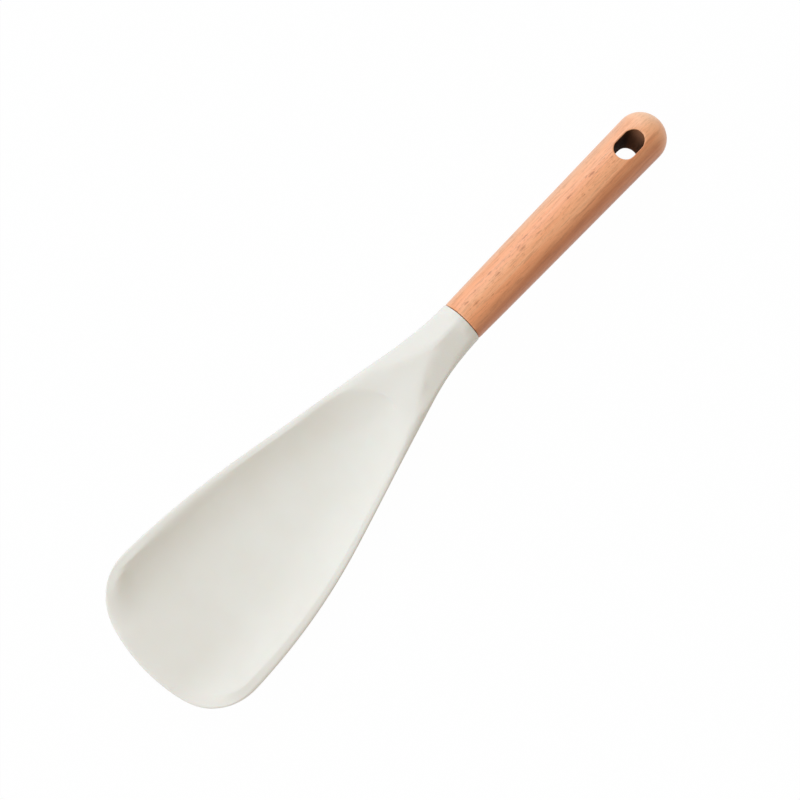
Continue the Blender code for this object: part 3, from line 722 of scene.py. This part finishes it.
# Painted sheen along the side towards the lamps.
painted_sheen_side = beech.ramp(y, LIGHT_SIDE_START, LIGHT_SIDE_END)
colour = beech.mix(LIGHT_SIDE_SHARE * painted_sheen_side, colour, BEECH_PAINTED_SHEEN)
off_seam = beech.add("ShaderNodeMath", {"operation": "ABSOLUTE"},
                     y - SEAM + (wander - 0.5) * SEAM_WANDER)
seam = beech.ramp(off_seam, SEAM_FADE, SEAM_FULL) * beech.ramp(x, SEAM_START, SEAM_END)
colour = beech.mix(SEAM_SHARE * seam, colour, BEECH_FIBRE)
# Painted light over the domed end, with a painted highlight on its side towards the lamps; the streaks and
# dashes fade under it.
painted_light_end = beech.ramp(x, PALE_END_START, PALE_END_END)
painted_highlight_side = beech.ramp(y, PALE_SIDE_START, PALE_SIDE_END)
colour = beech.mix(END_SHARE * painted_light_end, colour, BEECH_PAINTED_END_LIGHT)
colour = beech.mix(PALE_SHARE * painted_light_end * painted_highlight_side, colour, BEECH_PAINTED_HIGHLIGHT)
faint_end = 1 - END_FAINTNESS * painted_light_end
colour = beech.mix(STREAK_SHARE * faint_end * beech.ramp(streak, 0.46, 0.72), colour, BEECH_FIBRE)
colour = beech.mix(FIBRE_SHARE * beech.ramp(fibre, 0.45, 0.75), colour, BEECH_FIBRE)
colour = beech.mix(PORE_SHARE * pores, colour, BEECH_FIBRE)
colour = beech.mix(DASH_SHARE * faint_end * dashes, colour, BEECH_FLECK)
colour = beech.mix(FLECK_SHARE * fleck, colour, BEECH_FLECK)
colour = beech.mix(BORE_SHARE * bore_wall, colour, BEECH_FIBRE)
beech.paint("Base Color", colour)
beech.paint("Roughness", 0.44 + 0.14 * fibre + 0.05 * wander)
beech.bump(1 - 0.5 * fleck - 0.4 * pores - 0.3 * fibre, 0.06 * MM, 0.6)

# The routed wall shows end grain, dark with oil and darker still with painted shade in the slot, and a bit
# lighter towards the handle's end with painted light where the lamps reach into the slot.

routed = Finish("beech_slot_wall", Roughness=0.85, Specular_IOR_Level=0.08)
place = routed.on_handle()
x = routed.axes(place)[0]
grain = routed.noise(routed.stretched(place, 2.0 * MM, 0.3 * MM, 0.5 * MM), detail=3.0)
painted_light_on_wall = routed.ramp(x + grain * (3 * MM), SLOT_WALL_FADE_START, SLOT_WALL_FADE_END)
routed.paint("Base Color", routed.mix(painted_light_on_wall, SLOT_WALL_OIL_AND_SHADE, SLOT_WALL_PAINTED_LIGHT))
routed.paint("Roughness", 0.75 + 0.2 * grain)
routed.bump(grain, 0.1 * MM, 0.8)

handle.data.materials.clear()
handle.data.materials.append(beech.material)
handle.data.materials.append(routed.material)
for face in handle.data.polygons:
    centre = to_spoon @ face.center
    below_round = handle_radius(centre.x) - SLOT_EDGE_ROUND
    if slot_distance(centre) < SLOT_WALL_NEAR and abs(centre.z) < below_round:
        face.material_index = 1
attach(handle, "root")
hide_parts("beech_handle")


# Floor, light and camera
# A white table top and plain soft light from the upper left of the picture, as in the photograph.

CAMERA_PLACE = (17.611 * MM, -81.786 * MM, 547.142 * MM)
CAMERA_TURN = (math.radians(4.4743), math.radians(7.5538), math.radians(-46.5545))
CAMERA_LENS = 54.0
CAMERA_SENSOR = 36.0
FLOOR_SIZE = 6.0
FLOOR_WHITE = 0.985
WORLD_LIGHT = 0.52
WORLD_COLOUR = (1.0, 0.917, 0.785)
LAMP_AIM = (-0.05, 0.0, 0.02)
LAMP_DISTANCE = 4.0
LAMP_SIZE = 3.3
LAMP_COLOUR = (0.785, 0.888, 1.02)
SIDE_LAMP_PLACE = (-0.906, -0.423, 0.8)
SIDE_LAMP_POWER = 90.0
TOP_LAMP_PLACE = (-0.34, 0.94, 0.4)
TOP_LAMP_POWER = 87.0

camera = bpy.data.objects.new("camera", bpy.data.cameras.new("camera"))
camera.location = CAMERA_PLACE
camera.rotation_euler = CAMERA_TURN
camera.data.lens = CAMERA_LENS
camera.data.sensor_width = CAMERA_SENSOR
bpy.context.scene.collection.objects.link(camera)
bpy.context.scene.camera = camera

bpy.ops.mesh.primitive_plane_add(size=FLOOR_SIZE, location=(0.0, 0.0, 0.0))
floor = bpy.context.active_object
floor.name = "floor"
paper = Finish("paper", Roughness=0.9, Base_Color=(0.8, 0.8, 0.8, 1.0))
glow = paper.add("ShaderNodeEmission", {}, Strength=1.0)
rays = paper.tree.nodes.new("ShaderNodeLightPath")
seen = sum(Wire(paper, rays.outputs[kind])
           for kind in ("Is Camera Ray", "Is Glossy Ray", "Is Transmission Ray"))
floor.data.materials.append(paper.material)
blend = paper.tree.nodes.new("ShaderNodeMixShader")
paper.feed(blend.inputs[0], seen * FLOOR_WHITE)
paper.tree.links.new(paper.body.outputs[0], blend.inputs[1])
paper.tree.links.new(glow.socket, blend.inputs[2])
paper.tree.links.new(blend.outputs[0], paper.tree.nodes["Material Output"].inputs[0])

studio = bpy.data.worlds.new("studio")
studio.use_nodes = True
studio.node_tree.nodes["Background"].inputs["Color"].default_value = (*WORLD_COLOUR, 1.0)
studio.node_tree.nodes["Background"].inputs["Strength"].default_value = WORLD_LIGHT
bpy.context.scene.world = studio


def softbox(name, place, power):
    """A square lamp: its place is a direction in the picture, right, up and towards the camera."""
    lamp = bpy.data.objects.new(name, bpy.data.lights.new(name, "AREA"))
    lamp.data.size = LAMP_SIZE
    lamp.data.energy = power
    lamp.data.color = LAMP_COLOUR
    away = camera.matrix_basis.to_3x3() @ Vector(place).normalized() * LAMP_DISTANCE
    lamp.location = Vector(LAMP_AIM) + away
    lamp.rotation_euler = away.to_track_quat("Z", "Y").to_euler()
    bpy.context.scene.collection.objects.link(lamp)


softbox("side_lamp", SIDE_LAMP_PLACE, SIDE_LAMP_POWER)
softbox("top_lamp", TOP_LAMP_PLACE, TOP_LAMP_POWER)
bpy.context.scene.view_settings.view_transform = "Standard"
